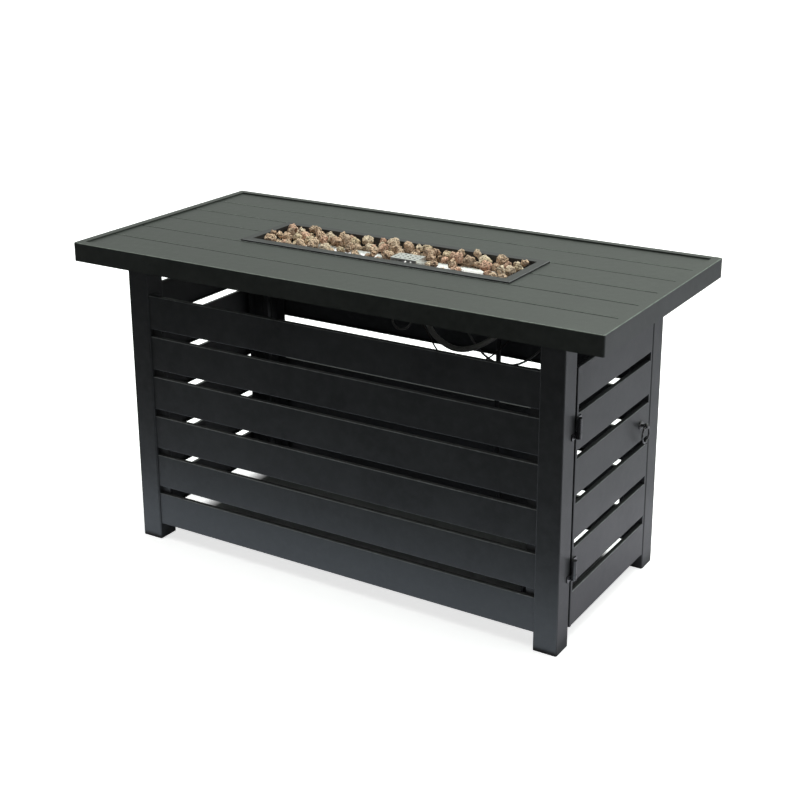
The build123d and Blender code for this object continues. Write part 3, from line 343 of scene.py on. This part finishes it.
cords = {
    "gas_hose": (0.010, 0.795, "hose_rubber", "medium", [
        (0.203, 0.1835, 0.538), (0.175, 0.1835, 0.538), (0.148, 0.183, 0.5225), (0.132, 0.1825, 0.495),
        (0.130, 0.1815, 0.440), (0.133, 0.180, 0.345), (0.130, 0.1785, 0.237), (0.133, 0.177, 0.147),
        (0.137, 0.176, 0.080), (0.152, 0.1735, 0.050), (0.176, 0.169, 0.028), (0.210, 0.161, 0.013),
        (0.256, 0.148, 0.0055), (0.298, 0.126, 0.0055), (0.326, 0.098, 0.012), (0.334, 0.072, 0.0215),
        (0.334, 0.046, 0.0215),
    ]),
    "burner_hose": (0.010, 0.458, "hose_rubber", "medium", [
        (0.024, 0.0, 0.5213), (0.050, 0.0, 0.5213), (0.076, -0.010, 0.5103), (0.094, -0.030, 0.4893),
        (0.118, -0.044, 0.4653), (0.168, -0.050, 0.4473), (0.216, -0.044, 0.4643), (0.247, -0.022, 0.4923),
        (0.262, 0.018, 0.5143), (0.260, 0.064, 0.529), (0.245, 0.102, 0.536), (0.234, 0.128, 0.538),
        (0.234, 0.1495, 0.538),
    ]),
    "igniter_wire": (0.004, 0.597, "wire_jacket", "limp", [
        (0.048, -0.033, 0.5273), (0.048, -0.033, 0.5113), (0.037, -0.042, 0.5003), (0.032, -0.050, 0.4873),
        (0.044, -0.055, 0.4703), (0.065, -0.054, 0.4723), (0.075, -0.048, 0.4873), (0.078, -0.037, 0.5043),
        (0.078, -0.022, 0.5203), (0.083, -0.004, 0.5313), (0.101, 0.008, 0.5303), (0.123, 0.010, 0.5163),
        (0.145, 0.006, 0.4903), (0.167, 0.002, 0.4603), (0.189, 0.004, 0.4323), (0.213, 0.016, 0.4123),
        (0.241, 0.044, 0.4043), (0.264, 0.078, 0.420), (0.284, 0.106, 0.454), (0.297, 0.124, 0.498),
        (0.301, 0.132, 0.526), (0.302, 0.147, 0.538), (0.302, 0.164, 0.538),
    ]),
    "thermocouple_lead": (0.003, 0.412, "copper_lead", "limp", [
        (0.066, -0.033, 0.5273), (0.066, -0.033, 0.5083), (0.073, -0.024, 0.4883), (0.083, -0.010, 0.4603),
        (0.093, 0.0, 0.4303), (0.105, 0.014, 0.4023), (0.127, 0.036, 0.3843), (0.157, 0.064, 0.3883),
        (0.184, 0.098, 0.414), (0.208, 0.132, 0.452), (0.224, 0.158, 0.486), (0.234, 0.175, 0.504),
        (0.234, 0.175, 0.524),
    ]),
}


def smooth_cord(name, diameter, points, look):
    """A round cord that starts and ends on its route and runs smoothly by the points between."""
    curve = bpy.data.curves.new(f"{name}_curve", "CURVE")
    curve.dimensions = "3D"
    line = curve.splines.new("NURBS")
    line.points.add(len(points) - 1)
    for point, place in zip(line.points, points):
        point.co = (*place, 1)
    line.order_u = 3
    line.use_endpoint_u = True
    curve.resolution_u = 8
    curve.bevel_depth = diameter / 2
    curve.bevel_resolution = 4
    curve.use_fill_caps = True
    curve.materials.append(look)
    return bpy.data.objects.new(f"{name}_soft", curve)


for name, (diameter, length, slot, stiffness, points) in cords.items():
    cord = smooth_cord(name, diameter, points, looks[slot])
    scene.collection.objects.link(cord)
    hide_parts(name)
    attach(cord, "frame")
    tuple(points[0])


# Lava rocks: each of the frame's stones, worn round at its edges and eaten by pores

rock_tones = [
    (0.66, 0.46, 0.32), (0.72, 0.52, 0.37), (0.58, 0.39, 0.27), (0.74, 0.58, 0.43),
    (0.73, 0.44, 0.32), (0.48, 0.34, 0.24), (0.78, 0.64, 0.48), (0.62, 0.49, 0.33),
]


def stones_of(mesh):
    """Middle of each separate stone of a mesh, with its faces' normals and distances from there."""
    work = bmesh.new()
    work.from_mesh(mesh)
    bmesh.ops.remove_doubles(work, verts=work.verts, dist=1e-6)
    seen = set()
    for start in work.verts:
        if start.index in seen:
            continue
        group, front = [], [start]
        seen.add(start.index)
        while front:
            vertex = front.pop()
            group.append(vertex)
            for edge in vertex.link_edges:
                other = edge.other_vert(vertex)
                if other.index not in seen:
                    seen.add(other.index)
                    front.append(other)
        faces = {face for vertex in group for face in vertex.link_faces}
        middle = sum((vertex.co for vertex in group), Vector()) / len(group)
        normals = np.array([face.normal for face in faces])
        depths = np.array([face.normal.dot(face.calc_center_median() - middle) for face in faces])
        yield np.array(middle), normals, depths
    work.free()


def ball(subdivisions):
    """Directions spread evenly over a ball, and the triangles between them."""
    work = bmesh.new()
    bmesh.ops.create_icosphere(work, subdivisions=subdivisions, radius=1)
    directions = np.array([vertex.co for vertex in work.verts])
    directions /= np.linalg.norm(directions, axis=1, keepdims=True)
    triangles = np.array([[vertex.index for vertex in face.verts] for face in work.faces])
    work.free()
    return directions, triangles


def worn_round(directions, normals, depths, sharpness=14):
    """Radius of a stone with flat faces in each direction, with its edges worn round."""
    reach = np.maximum(directions @ normals.T, 0) / depths
    return (reach ** sharpness).sum(axis=1) ** (-1 / sharpness)


def angles_from_spot(chance, directions):
    """Angle between each direction and a spot picked by chance."""
    spot = Vector([chance.gauss(0, 1) for _ in range(3)]).normalized()
    return np.arccos(np.clip(directions @ np.array(spot), -1, 1))


def weathered(chance, directions, radius):
    """Radius of a stone in each direction, after lumps, pores and dents are added."""
    lump_count, lump_width, lump_height = 60, (0.20, 0.42), (0.6, 1.0)
    pore_count, pore_width, pore_depth = 46, (0.0011, 0.0036), (0.35, 0.8)
    dent_count, dent_width, dent_depth = 5, (0.35, 0.6), (0.02, 0.09)
    low_share, lump_share = 0.93, 0.17
    size = radius.mean()
    lumps = np.zeros(len(directions))
    for _ in range(lump_count):
        away = angles_from_spot(chance, directions) / chance.uniform(*lump_width)
        lumps = np.maximum(lumps, chance.uniform(*lump_height) * np.exp(-away ** 2))
    eaten = np.zeros(len(directions))
    for _ in range(pore_count):
        angles = angles_from_spot(chance, directions)
        width = chance.uniform(*pore_width) / size
        depth = chance.uniform(*pore_depth) * width * size
        eaten = np.maximum(eaten, depth * np.exp(-(angles / width) ** 4))
    for _ in range(dent_count):
        away = angles_from_spot(chance, directions) / chance.uniform(*dent_width)
        eaten = eaten + chance.uniform(*dent_depth) * size * np.exp(-away ** 2)
    return radius * (low_share + lump_share * lumps) - eaten


def porous_rocks():
    """All the rocks as one mesh, with each rock's tone on its points."""
    tone_swing = (0.85, 1.15)
    chance = random.Random(5)
    directions, triangles = ball(subdivisions=4)
    corners, faces, tones = [], [], []
    for number, (middle, normals, depths) in enumerate(stones_of(nodes["lava_rocks"].data)):
        radius = weathered(chance, directions, worn_round(directions, normals, depths))
        tone = np.array(chance.choice(rock_tones)) * chance.uniform(*tone_swing)
        corners.append(middle + directions * radius[:, None])
        faces.append(triangles + number * len(directions))
        tones.append(np.tile([*tone, 1], (len(directions), 1)))
    mesh = bpy.data.meshes.new("porous_rocks")
    mesh.from_pydata(np.concatenate(corners).tolist(), [], np.concatenate(faces).tolist())
    mesh.shade_smooth()
    layer = mesh.attributes.new("tone", "FLOAT_COLOR", "POINT")
    layer.data.foreach_set("color", np.concatenate(tones).astype(np.float32).ravel())
    mesh.materials.append(looks["lava_stone"])
    return bpy.data.objects.new("porous_rocks", mesh)


rocks = porous_rocks()
scene.collection.objects.link(rocks)
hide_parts("lava_rocks")
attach(rocks, "frame")


# White studio: floor, lights and sky

teal, violet, green = (0.84, 0.96, 1.09), (0.98, 0.94, 1.06), (0.95, 1.03, 0.95)
white, pale_green, shadow_grey = (1, 1, 1), (0.95, 1.05, 0.95), (0.35, 0.35, 0.36)


def base_shadow(s, across, along):
    """1 on the floor that the base keeps dark, and 0 outside, with soft edges."""
    inside = 1.0
    for value, edge, core in (
        (across, base_left + 0.002, base_left + 0.044),
        (across, base_right - 0.044, base_right - 0.084),
        (along, base_front + 0.063, base_front + 0.098),
        (along, base_back - 0.002, base_back - 0.038),
    ):
        inside = s.maths("MULTIPLY", inside, s.span(value, (edge, core)))
    return inside


def studio_floor():
    """Floor that is white to the camera and dark under the base, and in reflections dark in front."""
    front_across, front_along = 0.10, -0.99
    bounce_at, bounce_levels = (0.15, 0.75), (0.80, 0.03)
    glow_at_squares, glow_levels = (1.0, 6.0), (0.70, 1.0)
    s = material_shader("studio_floor")
    across, along, _ = s.axes(s.place())
    to_side = s.maths("MULTIPLY", across, front_across)
    to_front = s.maths("ADD", to_side, s.maths("MULTIPLY", along, front_along))
    bounce = s.mix(1.0, s.span(to_front, bounce_at, bounce_levels), violet, "MULTIPLY")
    inside = base_shadow(s, across, along)
    distance_square = s.maths("ADD", s.maths("MULTIPLY", across, across), s.maths("MULTIPLY", along, along))
    glow = s.span(distance_square, glow_at_squares, glow_levels)
    glow = s.maths("MULTIPLY", s.span(inside, (0, 1), (1, 0)), glow)
    mirrored = s.shader("ShaderNodeBsdfDiffuse", Color=bounce)
    lit = s.shader("ShaderNodeBsdfDiffuse", Color=s.mix(inside, white, shadow_grey))
    glowing = s.shader("ShaderNodeEmission", Color=white, Strength=glow)
    seen = s.fill(s.node("ShaderNodeAddShader"), lit, glowing)
    camera_ray = s.node("ShaderNodeLightPath").outputs["Is Camera Ray"]
    return s.finish(s.fill(s.node("ShaderNodeMixShader"), camera_ray, mirrored, seen))


def studio_sky():
    """Sky that is white to the camera and partly so in reflections, and lights the table from behind."""
    dim_at, dim_levels = (-0.7, 0.5), (0.02, 0.42)
    mirrored_share = 0.22
    s = Shader(bpy.data.worlds.new("studio"), "ShaderNodeOutputWorld")
    _, to_back, _ = s.axes(s.node("ShaderNodeTexCoord").outputs["Generated"])
    dim = s.shader("ShaderNodeBackground", Color=pale_green, Strength=s.span(to_back, dim_at, dim_levels))
    bright = s.shader("ShaderNodeBackground", Color=white)
    rays = s.node("ShaderNodeLightPath").outputs
    mirrored = s.maths("MULTIPLY", rays["Is Glossy Ray"], mirrored_share)
    share = s.maths("MAXIMUM", rays["Is Camera Ray"], mirrored)
    return s.finish(s.fill(s.node("ShaderNodeMixShader"), share, dim, bright))


def softbox(name, place, aim, width, height, watts, tint=white):
    light = bpy.data.lights.new(name, "AREA")
    light.shape = "RECTANGLE"
    light.color = tint
    light.size = width
    light.size_y = height
    light.energy = watts
    lamp = bpy.data.objects.new(name, light)
    scene.collection.objects.link(lamp)
    lamp.location = place
    lamp.rotation_mode = "QUATERNION"
    lamp.rotation_quaternion = (Vector(aim) - Vector(place)).to_track_quat("-Z", "Y")
    lamp.visible_camera = False


def floor_card(name, middle, width, depth, watts, tint):
    """A light just above the floor that faces up, for the floor's bounce beside the base."""
    above_floor, up = 0.004, 1.0
    softbox(name, (*middle, above_floor), (*middle, up), width, depth, watts, tint)


bpy.ops.mesh.primitive_plane_add(size=80)
floor = bpy.context.object
floor.name = "studio_floor"
floor.data.materials.append(studio_floor())

softbox("top_box", (0.3, 0.7, 2.8), aim=(0.0, 0.0, 0.3), width=2.6, height=2.6, watts=72, tint=green)
softbox("right_box", (3.2, 0.6, 1.3), aim=(0.4, 0.0, 0.4), width=1.8, height=2.0, watts=15, tint=violet)
softbox("left_box", (-1.6, -0.9, 2.6), aim=(0.0, -0.2, 0.5), width=1.2, height=1.0, watts=14)
softbox("front_box", (0.9, -2.6, 1.35), aim=(0.0, -0.2, 0.45), width=1.0, height=0.8, watts=6)
front_gap, front_depth = 0.005, 0.172
front_middle = base_front - front_gap - front_depth / 2
side_gap, side_width = 0.016, 0.2
side_middle = base_right + side_gap + side_width / 2
floor_card("front_card", (0.0, front_middle), width=1.5, depth=front_depth, watts=0.70, tint=teal)
floor_card("side_card", (side_middle, 0.13), width=side_width, depth=0.68, watts=0.14, tint=violet)
scene.world = studio_sky()
scene.view_settings.view_transform = "Standard"
